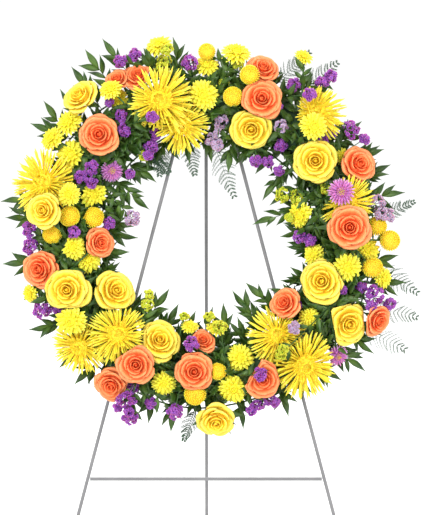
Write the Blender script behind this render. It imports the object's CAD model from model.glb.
# %% [markdown]
# # A funeral wreath on its easel
#
# The real object is a ring of wet foam, pierced by cut flowers and hung on a folding wire easel. The
# solid model fixes where every bloom sits. This lesson dresses it, so each bloom gets its own petals.
# We begin by loading that model, and we keep its box so that the dressed wreath can be set against it.

# %% The tools, and the model that fixes every place
import math
import random

import bmesh
import bpy
import numpy as np
from mathutils import Matrix, Vector
from mathutils.geometry import intersect_point_line


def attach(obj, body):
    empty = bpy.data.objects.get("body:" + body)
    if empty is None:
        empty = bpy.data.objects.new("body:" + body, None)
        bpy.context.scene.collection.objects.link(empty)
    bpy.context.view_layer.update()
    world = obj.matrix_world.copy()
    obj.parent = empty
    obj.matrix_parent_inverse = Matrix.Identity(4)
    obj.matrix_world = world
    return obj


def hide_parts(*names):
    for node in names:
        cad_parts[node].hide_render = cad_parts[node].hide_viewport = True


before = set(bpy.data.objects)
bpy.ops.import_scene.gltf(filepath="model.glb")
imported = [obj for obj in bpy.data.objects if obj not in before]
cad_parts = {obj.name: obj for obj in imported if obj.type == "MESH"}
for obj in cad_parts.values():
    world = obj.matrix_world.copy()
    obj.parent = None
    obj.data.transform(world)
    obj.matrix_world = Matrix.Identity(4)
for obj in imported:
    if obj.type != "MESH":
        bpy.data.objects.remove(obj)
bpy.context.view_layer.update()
FRONT = "front_frame_and_wreath"
MM = 0.001

# %% [markdown]
# The ring leans back with the easel's front legs. Everything on it is easier to place in the wreath's
# own frame: x to the right, z up the slope, and -y straight out of the flowers. One matrix turns that
# frame into the room's.

# %% The wreath's own frame
LEAN = math.radians(12)
RING_ABOVE_FLOOR = 891.5 * MM
FRONT_FEET_Y = -260 * MM
OUT = Vector((0, -1, 0))
up_slope = Vector((0, math.sin(LEAN), math.cos(LEAN)))
ring_centre = up_slope * RING_ABOVE_FLOOR + Vector((0, FRONT_FEET_Y, 0))
wreath_place = Matrix.Translation(ring_centre) @ Matrix.Rotation(-LEAN, 4, "X")
print("ring centre", [round(value, 3) for value in wreath_place.translation])

# %% [markdown]
# The photograph looks straight at the flowers from a few metres off, through a long lens, so the ring
# is a true circle in it. One pixel is 2 mm there. The lens follows from that: the sensor's height is
# to the distance as the lens is to the height that the picture covers.

# %% Camera
CAMERA_AWAY = 3.6
PICTURE_HEIGHT = 1.03
bpy.ops.object.select_all(action="DESELECT")
bpy.ops.object.camera_add()
camera = bpy.context.object
camera.data.sensor_fit = "VERTICAL"
camera.data.sensor_height = 36
camera.data.lens = 36 * CAMERA_AWAY / PICTURE_HEIGHT
camera.data.clip_end = 200
aim = Matrix.Translation((13 * MM, -CAMERA_AWAY, -35 * MM)) @ Matrix.Rotation(math.pi / 2, 4, "X")
camera.matrix_world = wreath_place @ aim
bpy.context.scene.camera = camera
print("lens", round(camera.data.lens, 1), "mm")

# %% [markdown]
# A studio for flowers is white all round. A wide floor runs back past the picture's top edge, and big
# soft lamps above each shoulder model the petals without hard shadows. Blender's Standard view keeps
# clear yellows and oranges clear, where the usual one would grey them.

# %% Floor and lamps
bpy.ops.object.select_all(action="DESELECT")
bpy.ops.mesh.primitive_plane_add(size=120)
floor = bpy.context.object
floor.name = "studio_floor"
floor_paint = bpy.data.materials.new("studio_white")
floor_paint.use_nodes = True
floor_shader = floor_paint.node_tree.nodes["Principled BSDF"]
floor_shader.inputs["Base Color"].default_value = (0.9, 0.9, 0.9, 1)
floor_shader.inputs["Roughness"].default_value = 0.9
floor.data.materials.append(floor_paint)

# Each lamp's place, width and power in watts: left shoulder, right shoulder, and one from behind
LAMPS = [((-1.9, -2.6, 3.0), 2.0, 108), ((2.4, -2.4, 2.0), 2.4, 62), ((0.3, 1.6, 2.8), 2.0, 45)]
for place, width, power in LAMPS:
    bpy.ops.object.light_add(type="AREA", location=place)
    lamp = bpy.context.object
    lamp.data.size = width
    lamp.data.energy = power
    toward = wreath_place.translation - lamp.location
    lamp.rotation_euler = toward.to_track_quat("-Z", "Y").to_euler()
world = bpy.data.worlds.new("studio_air")
bpy.context.scene.world = world
world.use_nodes = True
background = world.node_tree.nodes["Background"].inputs
background["Color"].default_value = (1, 1, 1, 1)
background["Strength"].default_value = 1.15
bpy.context.scene.view_settings.view_transform = "Standard"
print("lamps", len(LAMPS))

# %% [markdown]
# ## Finishes
#
# A petal is never one colour. It is deeper at its root, paler at its edge, streaked by fine veins, and
# no two in a bloom match. Every petal here carries its own map: u runs across it, v from root to tip,
# and two values say how far out it sits in the bloom and which random tone it has. One node group
# reads them for all the flowers, and each flower gives it three colours.


# %% Small helpers for node trees
def add_node(tree, kind, **settings):
    made = tree.nodes.new(kind)
    for name, value in settings.items():
        setattr(made, name, value)
    return made


def feed(source, target):
    """Links an output, or sets a plain value."""
    if isinstance(source, bpy.types.NodeSocket):
        target.id_data.links.new(source, target)
    else:
        target.default_value = source


def calculate(tree, operation, first, second, third=None):
    made = add_node(tree, "ShaderNodeMath", operation=operation)
    feed(first, made.inputs[0])
    feed(second, made.inputs[1])
    if third is not None:
        feed(third, made.inputs[2])
    return made.outputs[0]


def mix_colours(tree, share, first, second, blend="MIX"):
    made = add_node(tree, "ShaderNodeMix", data_type="RGBA", blend_type=blend)
    feed(share, made.inputs["Factor"])
    feed(first, made.inputs[6])
    feed(second, made.inputs[7])
    return made.outputs[2]


def spread(tree, value, low, high, to_low=0.0, to_high=1.0):
    """Maps low to high onto to_low to to_high, with soft ends."""
    made = add_node(tree, "ShaderNodeMapRange", clamp=True, interpolation_type="SMOOTHSTEP")
    feed(value, made.inputs["Value"])
    for name, number in zip(("From Min", "From Max", "To Min", "To Max"), (low, high, to_low, to_high)):
        made.inputs[name].default_value = number
    return made.outputs[0]


def new_group(name, inputs, outputs):
    tree = bpy.data.node_groups.new(name, "ShaderNodeTree")
    for title, kind, value in inputs:
        socket = tree.interface.new_socket(name=title, in_out="INPUT", socket_type=kind)
        socket.default_value = value
    for title, kind in outputs:
        tree.interface.new_socket(name=title, in_out="OUTPUT", socket_type=kind)
    return tree, add_node(tree, "NodeGroupInput").outputs, add_node(tree, "NodeGroupOutput").inputs


# %% The petal finish, shared by all the flowers
COLOUR, NUMBER = "NodeSocketColor", "NodeSocketFloat"
petal_group, taken, given = new_group(
    "petal_finish",
    [
        ("Root", COLOUR, (1, 1, 1, 1)),
        ("Blade", COLOUR, (1, 1, 1, 1)),
        ("Edge", COLOUR, (1, 1, 1, 1)),
        ("Veins Across", NUMBER, 9.0),
        ("Vein Strength", NUMBER, 0.25),
        ("Heart Depth", NUMBER, 0.3),
    ],
    [("Color", COLOUR), ("Height", NUMBER), ("Roughness", NUMBER)],
)
petal_map = add_node(petal_group, "ShaderNodeUVMap", uv_map="petal")
sides = add_node(petal_group, "ShaderNodeSeparateXYZ")
feed(petal_map.outputs[0], sides.inputs[0])
across, along = sides.outputs[0], sides.outputs[1]
tone = add_node(petal_group, "ShaderNodeAttribute", attribute_name="tone").outputs["Fac"]
age = add_node(petal_group, "ShaderNodeAttribute", attribute_name="age").outputs["Fac"]
streak_place = add_node(petal_group, "ShaderNodeCombineXYZ")
feed(calculate(petal_group, "MULTIPLY", across, taken["Veins Across"]), streak_place.inputs[0])
feed(calculate(petal_group, "MULTIPLY", along, 1.6), streak_place.inputs[1])
feed(calculate(petal_group, "MULTIPLY", tone, 23.0), streak_place.inputs[2])
streaks = add_node(petal_group, "ShaderNodeTexNoise")
streaks.inputs["Scale"].default_value = 1.0
streaks.inputs["Detail"].default_value = 2.0
feed(streak_place.outputs[0], streaks.inputs["Vector"])
vein = spread(petal_group, streaks.outputs["Fac"], 0.35, 0.65)

blade_share = spread(petal_group, along, 0.1, 0.75)
petal_colour = mix_colours(petal_group, blade_share, taken["Root"], taken["Blade"])
near_tip, near_rim = spread(petal_group, along, 0.7, 1.0), spread(petal_group, age, 0.1, 0.9)
edge_share = calculate(petal_group, "MULTIPLY", near_tip, near_rim)
petal_colour = mix_colours(petal_group, edge_share, petal_colour, taken["Edge"])
near_heart = spread(petal_group, age, 0.0, 0.7, 1.0, 0.0)
heart_share = calculate(petal_group, "MULTIPLY", near_heart, taken["Heart Depth"])
petal_colour = mix_colours(petal_group, heart_share, petal_colour, taken["Root"])
shade = calculate(petal_group, "MULTIPLY_ADD", tone, 0.22, 0.89)
vein_shade = calculate(petal_group, "MULTIPLY", vein, taken["Vein Strength"])
shade = calculate(petal_group, "MULTIPLY", shade, calculate(petal_group, "SUBTRACT", 1.0, vein_shade))
brightness = add_node(petal_group, "ShaderNodeCombineColor")
for channel in range(3):
    feed(shade, brightness.inputs[channel])
petal_colour = mix_colours(petal_group, 1.0, petal_colour, brightness.outputs[0], "MULTIPLY")
feed(petal_colour, given["Color"])
feed(vein, given["Height"])
feed(spread(petal_group, vein, 0.0, 1.0, 0.5, 0.66), given["Roughness"])
print("petal finish nodes", len(petal_group.nodes))

# %% [markdown]
# Things that don't carry a petal map, such as the foam, the tray and the wires, are mottled by a noise
# in the object's own space. That makes a second group: it gives a soft blotch, a fine grain and a
# height that a bump node can read.

# %% The mottled finish, shared by foam, plastic and metal
mottle_group, taken, given = new_group(
    "mottled_finish",
    [
        ("Dark", COLOUR, (0, 0, 0, 1)),
        ("Light", COLOUR, (1, 1, 1, 1)),
        ("Blotch Scale", NUMBER, 20.0),
        ("Grain Scale", NUMBER, 300.0),
        ("Grain Share", NUMBER, 0.5),
    ],
    [("Color", COLOUR), ("Height", NUMBER)],
)
place = add_node(mottle_group, "ShaderNodeTexCoord").outputs["Object"]
blotch = add_node(mottle_group, "ShaderNodeTexNoise")
grain = add_node(mottle_group, "ShaderNodeTexNoise")
for noise, size in ((blotch, "Blotch Scale"), (grain, "Grain Scale")):
    feed(place, noise.inputs["Vector"])
    feed(taken[size], noise.inputs["Scale"])
    noise.inputs["Detail"].default_value = 3.0
grain_part = calculate(mottle_group, "MULTIPLY", grain.outputs["Fac"], taken["Grain Share"])
blotch_part = calculate(mottle_group, "SUBTRACT", 1.0, taken["Grain Share"])
mixed = calculate(mottle_group, "MULTIPLY_ADD", blotch.outputs["Fac"], blotch_part, grain_part)
light_share = spread(mottle_group, mixed, 0.32, 0.68)
mottled = mix_colours(mottle_group, light_share, taken["Dark"], taken["Light"])
feed(mottled, given["Color"])
feed(grain.outputs["Fac"], given["Height"])


# %% A material from one of the two groups
BUMP_DEPTH = 0.3 * MM
LIGHT_REACH = 10 * MM


def new_material(name, group, values, roughness=None, metallic=0.0, bump=0.3, soft=0.0, shine=0.5):
    """Soft is how much light sinks in, and shine how strongly the surface mirrors."""
    made = bpy.data.materials.new(name)
    made.use_nodes = True
    tree = made.node_tree
    shader = tree.nodes["Principled BSDF"]
    finish = add_node(tree, "ShaderNodeGroup", node_tree=group)
    for title, value in values.items():
        finish.inputs[title].default_value = (*value, 1) if isinstance(value, tuple) else value
    relief = add_node(tree, "ShaderNodeBump")
    relief.inputs["Strength"].default_value = bump
    relief.inputs["Distance"].default_value = BUMP_DEPTH
    feed(finish.outputs["Height"], relief.inputs["Height"])
    feed(relief.outputs[0], shader.inputs["Normal"])
    feed(finish.outputs["Color"], shader.inputs["Base Color"])
    feed(finish.outputs["Roughness"] if roughness is None else roughness, shader.inputs["Roughness"])
    shader.inputs["Metallic"].default_value = metallic
    shader.inputs["Specular IOR Level"].default_value = shine
    shader.inputs["Subsurface Weight"].default_value = soft
    shader.inputs["Subsurface Scale"].default_value = LIGHT_REACH
    return made


# %% [markdown]
# Now the colours. The roses are the warmest: gold in the yellow ones' hearts, and a burnt orange deep
# inside the coral ones. The chrysanthemums are a clearer lemon. Statice keeps its papery violet even
# when dry, and the leaves are a dark glossy green that makes the rest glow.

# %% Materials of the flowers and the greenery
# Colours of the root, the blade and the edge, then how many veins run across and how far they darken
PETALS = {
    "yellow_rose": ((0.95, 0.58, 0.022), (0.97, 0.70, 0.05), (0.98, 0.77, 0.13), 9, 0.14),
    "orange_rose": ((0.91, 0.13, 0.032), (0.96, 0.225, 0.066), (0.98, 0.34, 0.13), 9, 0.14),
    "spider_mum": ((0.86, 0.55, 0.015), (0.95, 0.70, 0.03), (0.97, 0.79, 0.09), 5, 0.14),
    "daisy_mum": ((0.84, 0.62, 0.015), (0.94, 0.76, 0.03), (0.97, 0.83, 0.10), 6, 0.14),
    "button_mum": ((0.94, 0.62, 0.02), (0.97, 0.72, 0.035), (0.98, 0.78, 0.05), 4, 0.14),
    "statice": ((0.13, 0.02, 0.16), (0.32, 0.06, 0.44), (0.52, 0.18, 0.62), 7, 0.3),
    "stock": ((0.28, 0.18, 0.26), (0.44, 0.28, 0.46), (0.66, 0.54, 0.64), 6, 0.2),
    "aster": ((0.34, 0.07, 0.28), (0.55, 0.16, 0.46), (0.74, 0.38, 0.64), 5, 0.2),
    "solidago": ((0.28, 0.34, 0.02), (0.66, 0.66, 0.03), (0.84, 0.80, 0.07), 4, 0.2),
    "disc": ((0.45, 0.25, 0.01), (0.80, 0.52, 0.02), (0.90, 0.66, 0.05), 4, 0.2),
    "leaf": ((0.10, 0.19, 0.03), (0.020, 0.066, 0.006), (0.06, 0.14, 0.016), 12, 0.45),
    "fern": ((0.06, 0.12, 0.07), (0.09, 0.16, 0.10), (0.15, 0.23, 0.16), 4, 0.2),
    "stem": ((0.03, 0.09, 0.02), (0.04, 0.11, 0.02), (0.06, 0.14, 0.03), 5, 0.3),
}
# Where they aren't as most are: how far the root's colour fills the heart, and how much light sinks in
HEARTS = {"spider_mum": 0.1, "leaf": 0.4, "fern": 0.0, "stem": 0.0}
SOFT = {"yellow_rose": 0.15, "orange_rose": 0.15, "leaf": 0.0, "fern": 0.0, "stem": 0.0}
PETAL_SHINE = 0.35
paint = {}
for name, (root, blade, edge, veins, strength) in PETALS.items():
    values = {"Root": root, "Blade": blade, "Edge": edge, "Veins Across": float(veins)}
    values.update({"Vein Strength": strength, "Heart Depth": HEARTS.get(name, 0.3)})
    roughness = 0.4 if name == "leaf" else None
    soft = SOFT.get(name, 0.3)
    paint[name] = new_material(name, petal_group, values, roughness, soft=soft, shine=PETAL_SHINE)
print("petal materials", len(paint))

# %% Materials of the foam, the tray and the wires
# A dark and a light shade, the scales of blotch and grain, and the grain's share
MOTTLED = {
    "foam": ((0.008, 0.03, 0.01), (0.02, 0.06, 0.02), 40, 900, 0.5),
    "tray": ((0.010, 0.05, 0.022), (0.016, 0.075, 0.034), 20, 1500, 0.3),
    "grey_paint": ((0.155, 0.155, 0.16), (0.19, 0.19, 0.195), 20, 1100, 0.4),
    "bare_steel": ((0.38, 0.38, 0.38), (0.52, 0.52, 0.52), 20, 1600, 0.5),
}
SURFACES = {
    "foam": {"roughness": 0.95, "bump": 0.8},
    "tray": {"roughness": 0.42, "bump": 0.1},
    "grey_paint": {"roughness": 0.5, "bump": 0.12, "shine": 0.3},
    "bare_steel": {"roughness": 0.3, "bump": 0.08, "metallic": 1.0},
}
for name, (dark, light, blotches, grains, share) in MOTTLED.items():
    values = {"Dark": dark, "Light": light, "Blotch Scale": float(blotches)}
    values.update({"Grain Scale": float(grains), "Grain Share": share})
    paint[name] = new_material(name, mottle_group, values, **SURFACES[name])
print("materials", len(paint))

# %% [markdown]
# ## The easel
#
# The easel is plain wire: two legs in front, a bar across them, a hook, and a back leg whose closed eye
# turns on a short bar at the top. A wire is a curve with a round bevel, made a mesh afterwards. That
# keeps it truly round where the solid model has eight sides. The floor cuts the legs off flat.


# %% Round wires from the easel's centrelines
def finish_piece(piece, material, slot, body, *nodes):
    """Puts a finished piece in the room, on its body and in place of its nodes."""
    piece.data.materials.clear()
    piece.data.materials.append(material)
    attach(piece, body)
    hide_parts(*nodes)
    return piece


def round_wire(name, points, radius, cyclic=False):
    line = bpy.data.curves.new(name, "CURVE")
    line.dimensions = "3D"
    line.bevel_depth = radius
    line.bevel_resolution = 5
    line.use_fill_caps = True
    spline = line.splines.new("POLY")
    spline.points.add(len(points) - 1)
    for point, spot in zip(spline.points, points):
        point.co = (*spot, 1)
    spline.use_cyclic_u = cyclic
    made = bpy.data.objects.new(name, line)
    bpy.context.scene.collection.objects.link(made)
    bpy.ops.object.select_all(action="DESELECT")
    made.select_set(True)
    bpy.context.view_layer.objects.active = made
    bpy.ops.object.convert(target="MESH")
    made.data.transform(wreath_place)
    bpy.ops.object.mode_set(mode="EDIT")
    bpy.ops.mesh.select_all(action="SELECT")
    bpy.ops.mesh.remove_doubles(threshold=1e-5)
    bpy.ops.mesh.select_all(action="SELECT")
    bpy.ops.mesh.bisect(plane_co=(0, 0, 0), plane_no=(0, 0, 1), use_fill=True, clear_inner=True)
    bpy.ops.mesh.select_all(action="SELECT")
    bpy.ops.mesh.normals_make_consistent(inside=False)
    bpy.ops.object.mode_set(mode="OBJECT")
    bpy.ops.object.shade_smooth_by_angle(angle=math.radians(50))
    return made


WIRE_RADIUS = 3.5 * MM
GAP = 0.3 * MM
TOP_BAR_AT = 356 * MM
LEGS_MEET_AT = 419.6 * MM
LEG_SPLAY = 0.2638
CROSSBAR_AT = -478.4 * MM
EASEL_BEHIND = WIRE_RADIUS + GAP


def leg_spread(at):
    return LEG_SPLAY * (LEGS_MEET_AT - at)


leg_top = TOP_BAR_AT - WIRE_RADIUS - GAP - 1.0 * MM
leg_foot = -RING_ABOVE_FLOOR - 30 * MM  # past the floor, which cuts the wire off
for side, name in ((-1, "easel_left_leg"), (1, "easel_right_leg")):
    top = Vector((side * leg_spread(leg_top), EASEL_BEHIND, leg_top))
    foot = Vector((side * leg_spread(leg_foot), EASEL_BEHIND, leg_foot))
    leg = round_wire(name + "_wire", [foot, top], WIRE_RADIUS)
    finish_piece(leg, paint["grey_paint"], "grey_wire", FRONT, name)

TOP_BAR_HALF = 26 * MM
slant = WIRE_RADIUS * math.hypot(1, LEG_SPLAY) + WIRE_RADIUS * LEG_SPLAY + GAP
crossbar_half = leg_spread(CROSSBAR_AT) - slant
for name, half, height in (
    ("easel_top_bar", TOP_BAR_HALF, TOP_BAR_AT),
    ("easel_crossbar", crossbar_half, CROSSBAR_AT),
):
    ends = [Vector((x, EASEL_BEHIND, height)) for x in (-half, half)]
    bar = round_wire(name + "_wire", ends, WIRE_RADIUS)
    finish_piece(bar, paint["grey_paint"], "grey_wire", FRONT, name)
print("crossbar", round(2 * crossbar_half, 3), "m")

# %% [markdown]
# The back leg is one wire whose end is bent round into an eye. The leg and the eye are made apart and
# joined, since nothing shows where they meet.

# %% Back leg, hook and hanging loop
EYE_RADIUS = 7.0 * MM
pivot = Vector((0, EASEL_BEHIND, TOP_BAR_AT))
down = Vector((0, math.sin(2 * LEAN), -math.cos(2 * LEAN)))
turns = [math.tau * step / 40 for step in range(40)]
eye_points = [pivot + Vector((0, math.cos(turn), math.sin(turn))) * EYE_RADIUS for turn in turns]
eye = round_wire("easel_eye", eye_points, WIRE_RADIUS, cyclic=True)
past_floor = RING_ABOVE_FLOOR + TOP_BAR_AT + 60 * MM
leg_ends = [pivot + down * EYE_RADIUS, pivot + down * past_floor]
back_leg = round_wire("easel_back_leg_wire", leg_ends, WIRE_RADIUS)
bpy.ops.object.select_all(action="DESELECT")
eye.select_set(True)
back_leg.select_set(True)
bpy.context.view_layer.objects.active = back_leg
bpy.ops.object.join()
finish_piece(back_leg, paint["grey_paint"], "grey_wire", "back_leg", "easel_back_leg")

HOOK_AT = 335 * MM
HOOK_RADIUS = 2 * MM


def both_sides(half):
    """A line from the left end to the right end, from its right half."""
    return [(-x, y, z) for x, y, z in half[::-1]] + half


hook_right = [(6, -18, 11), (6, -18, 2), (6, -16, 0), (6, -4, 0), (8, -2, 0), (27, -2, 0)]
hook_right = [(x * MM, y * MM, HOOK_AT + up * MM) for x, y, up in hook_right]
hook = round_wire("easel_hook_wire", both_sides(hook_right), HOOK_RADIUS)
finish_piece(hook, paint["grey_paint"], "grey_wire", FRONT, "easel_hook")

LOOP_RADIUS = 1.25 * MM
LOOP_FOOT = 310 * MM
loop_top = HOOK_AT + HOOK_RADIUS + LOOP_RADIUS + 0.35 * MM
loop_right = [(8, loop_top), (12, loop_top - 5 * MM), (12, LOOP_FOOT)]
loop_right = [(x * MM, -9 * MM, z) for x, z in loop_right]
loop = round_wire("hanging_loop_wire", both_sides(loop_right), LOOP_RADIUS)
finish_piece(loop, paint["bare_steel"], "bare_wire", FRONT, "hanging_loop")
print("hook at", HOOK_AT, "loop top at", round(loop_top, 4))

# %% [markdown]
# ## Foam ring and tray
#
# The ring is green foam that holds water, pressed into a shallow plastic tray. A torus is the right
# start for the foam: it is flattened below to sit in the tray, and drawn out to its oval height. The
# tray begins as a circle that is extruded inwards for its floor and up for its two walls.


# %% Selecting in edit mode by a rule
def select_where(test):
    """Selects the vertices of the object in edit mode that pass a test."""
    data = bmesh.from_edit_mesh(bpy.context.object.data)
    for vert in data.verts:
        vert.select = test(vert.co)
    data.select_flush_mode()
    bmesh.update_edit_mesh(bpy.context.object.data)


def apply_modifier(piece, kind, **settings):
    change = piece.modifiers.new(kind.lower(), kind)
    for name, value in settings.items():
        setattr(change, name, value)
    bpy.context.view_layer.objects.active = piece
    bpy.ops.object.modifier_apply(modifier=change.name)


# %% The foam ring
RING_RADIUS = 275 * MM
FOAM_HALF_WIDTH = 44.5 * MM
FOAM_HEIGHT = 55 * MM
FOAM_BASE = 2.3 * MM
bpy.ops.object.select_all(action="DESELECT")
bpy.ops.mesh.primitive_torus_add(
    major_radius=RING_RADIUS, minor_radius=FOAM_HALF_WIDTH, major_segments=160, minor_segments=36
)
foam = bpy.context.object
foam.name = "foam_ring_soaked"
bpy.ops.object.mode_set(mode="EDIT")
bpy.ops.mesh.select_mode(type="VERT")
select_where(lambda spot: spot.z < -1e-6)
bpy.ops.transform.resize(value=(1, 1, 0), center_override=(0, 0, 0))
select_where(lambda spot: spot.z > 1e-6)
bpy.ops.transform.resize(value=(1, 1, FOAM_HEIGHT / FOAM_HALF_WIDTH * 0.99), center_override=(0, 0, 0))
bpy.ops.mesh.select_all(action="SELECT")
bpy.ops.transform.translate(value=(0, 0, FOAM_BASE))
bpy.ops.object.mode_set(mode="OBJECT")
foam.data.transform(wreath_place @ Matrix.Rotation(math.pi / 2, 4, "X"))
bpy.ops.object.shade_smooth_by_angle(angle=math.radians(50))
finish_piece(foam, paint["foam"], "floral_foam", FRONT, "ring_foam")
print("foam faces", len(foam.data.polygons))

# %% The tray
TRAY_WALL = 1.6 * MM
tray_half = FOAM_HALF_WIDTH + GAP + TRAY_WALL
bpy.ops.object.select_all(action="DESELECT")
bpy.ops.mesh.primitive_circle_add(vertices=160, radius=RING_RADIUS + tray_half)
tray = bpy.context.object
tray.name = "ring_tray_moulded"
shrink = (RING_RADIUS - tray_half) / (RING_RADIUS + tray_half)
bpy.ops.object.mode_set(mode="EDIT")
bpy.ops.mesh.select_mode(type="VERT")
bpy.ops.mesh.select_all(action="SELECT")
bpy.ops.mesh.extrude_region()
bpy.ops.transform.resize(value=(shrink, shrink, 1), center_override=(0, 0, 0))
bpy.ops.mesh.select_all(action="SELECT")
bpy.ops.mesh.select_mode(type="EDGE")
bpy.ops.mesh.region_to_loop()
bpy.ops.mesh.extrude_region()
bpy.ops.transform.translate(value=(0, 0, 10 * MM))
bpy.ops.mesh.select_all(action="SELECT")
bpy.ops.mesh.normals_make_consistent(inside=False)
bpy.ops.object.mode_set(mode="OBJECT")
apply_modifier(tray, "SOLIDIFY", thickness=TRAY_WALL, offset=0, use_even_offset=True)
tray.data.transform(Matrix.Translation((0, 0, TRAY_WALL / 2)))
tray.data.transform(wreath_place @ Matrix.Rotation(math.pi / 2, 4, "X"))
bpy.ops.object.shade_smooth_by_angle(angle=math.radians(40))
finish_piece(tray, paint["tray"], "green_plastic", FRONT, "ring_tray")
print("tray faces", len(tray.data.polygons))

# %% [markdown]
# ## Master petals
#
# Each kind of petal is modelled once, flat, from a small grid. Its rows are squeezed one by one to the
# petal's outline, and Solidify gives it a thickness. After that it is only a pattern: every petal of
# every bloom is a copy of it, bent to its own place. A pattern also holds its petal map, which runs
# along a blade, round a cup, or up a rod.


# %% Cutting a flat petal out of a grid
class Pattern:
    """A master: its points as across, along and thickness, its faces, and each point's petal map."""

    def __init__(self, thing, kind="blade"):
        data = thing.data
        self.flat = np.array([vert.co for vert in data.vertices], float)
        self.loops = np.array([loop.vertex_index for loop in data.loops], np.int32)
        self.totals = np.array([face.loop_total for face in data.polygons], np.int32)
        x, y, z = self.flat.T
        ways = {
            "blade": (x * 0.5 + 0.5, y),
            "cup": (np.arctan2(y, x) / math.tau + 0.5, np.hypot(x, y)),
            "rod": (x * 0.5 + 0.5, z),
        }
        self.map = np.stack(ways[kind], axis=1)
        bpy.data.objects.remove(thing, do_unlink=True)


def flat_petal(name, widths, columns, thickness):
    """Rows run from root (0) to tip (1). Each width is half the row's breadth, in petal breadths."""
    rows = len(widths) - 1
    bpy.ops.object.select_all(action="DESELECT")
    bpy.ops.mesh.primitive_grid_add(x_subdivisions=columns, y_subdivisions=rows, size=2)
    thing = bpy.context.object
    thing.name = name
    bpy.ops.object.mode_set(mode="EDIT")
    bpy.ops.mesh.select_mode(type="VERT")
    for row, width in enumerate(widths):
        at = -1 + 2 * row / rows
        select_where(lambda spot: abs(spot.y - at) < 1e-4)
        bpy.ops.transform.resize(value=(width, 1, 1), center_override=(0, at, 0))
    bpy.ops.object.mode_set(mode="OBJECT")
    thing.data.transform(Matrix.Diagonal((1, 0.5, 1, 1)) @ Matrix.Translation((0, 1, 0)))
    apply_modifier(thing, "SOLIDIFY", thickness=thickness, offset=0)
    return Pattern(thing)


rose_petal = flat_petal("rose_petal", [0.4, 0.62, 0.82, 0.95, 1.0, 0.99, 0.92, 0.76, 0.44], 6, 0.016)
quill = flat_petal("quill", [0.7, 0.6, 0.52, 0.54, 0.75, 0.95, 0.2], 2, 0.014)
ray_petal = flat_petal("ray_petal", [0.4, 0.6, 0.85, 1.0, 0.78, 0.08], 2, 0.02)
scoop = flat_petal("scoop", [0.7, 1.0, 0.5], 2, 0.05)
leaf_blade = flat_petal("leaf_blade", [0.08, 0.5, 0.84, 1.0, 0.98, 0.8, 0.5, 0.2, 0.01], 2, 0.8 * MM)
small_leaf = flat_petal("small_leaf", [0.1, 0.72, 1.0, 0.85, 0.45, 0.01], 2, 0.7 * MM)
low_leaf = flat_petal("low_leaf", [0.3, 1.0, 0.8, 0.02], 2, 0.6 * MM)
print("rose petal points", len(rose_petal.flat), "leaf points", len(leaf_blade.flat))

# %% [markdown]
# A statice floret is a tiny crumpled paper cup, so its master starts as a fan of triangles whose rim is
# pulled up and in at every second point. A fern's needle is the smallest cone there is, a stalk is a
# six-sided rod, and a ball closes the heart of each bloom behind its petals.

# %% Florets and needles
CUP_SIDES = 8
bpy.ops.object.select_all(action="DESELECT")
bpy.ops.mesh.primitive_circle_add(vertices=CUP_SIDES, radius=1, fill_type="TRIFAN")
cup = bpy.context.object
bpy.ops.object.mode_set(mode="EDIT")
bpy.ops.mesh.select_mode(type="VERT")
select_where(lambda spot: spot.length > 0.5)
bpy.ops.transform.translate(value=(0, 0, 0.9))
select_where(
    lambda spot: spot.length > 0.5 and round(math.atan2(spot.y, spot.x) / math.tau * CUP_SIDES) % 2 == 0
)
bpy.ops.transform.resize(value=(0.78, 0.78, 0.9), center_override=(0, 0, 0))
bpy.ops.object.mode_set(mode="OBJECT")
apply_modifier(cup, "SOLIDIFY", thickness=0.09, offset=0)
floret = Pattern(cup, "cup")
bpy.ops.mesh.primitive_cone_add(vertices=3, radius1=1, radius2=0, depth=1, location=(0, 0, 0.5))
bpy.ops.object.transform_apply(location=True)
needle = Pattern(bpy.context.object, "rod")
bpy.ops.mesh.primitive_cylinder_add(vertices=6, radius=1, depth=1, location=(0, 0, 0.5))
bpy.ops.object.transform_apply(location=True)
stalk = Pattern(bpy.context.object, "rod")
bpy.ops.mesh.primitive_ico_sphere_add(subdivisions=2, radius=1)
heart_ball = Pattern(bpy.context.object, "cup")
print("floret points", len(floret.flat))


# %% [markdown]
# A bloom is then a bunch of copies. The bunch below collects their points, their petal map, their tone
# and their place from heart to rim, and makes one mesh of them at the end. Doing this with arrays of
# numbers takes seconds for tens of thousands of petals.


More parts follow.
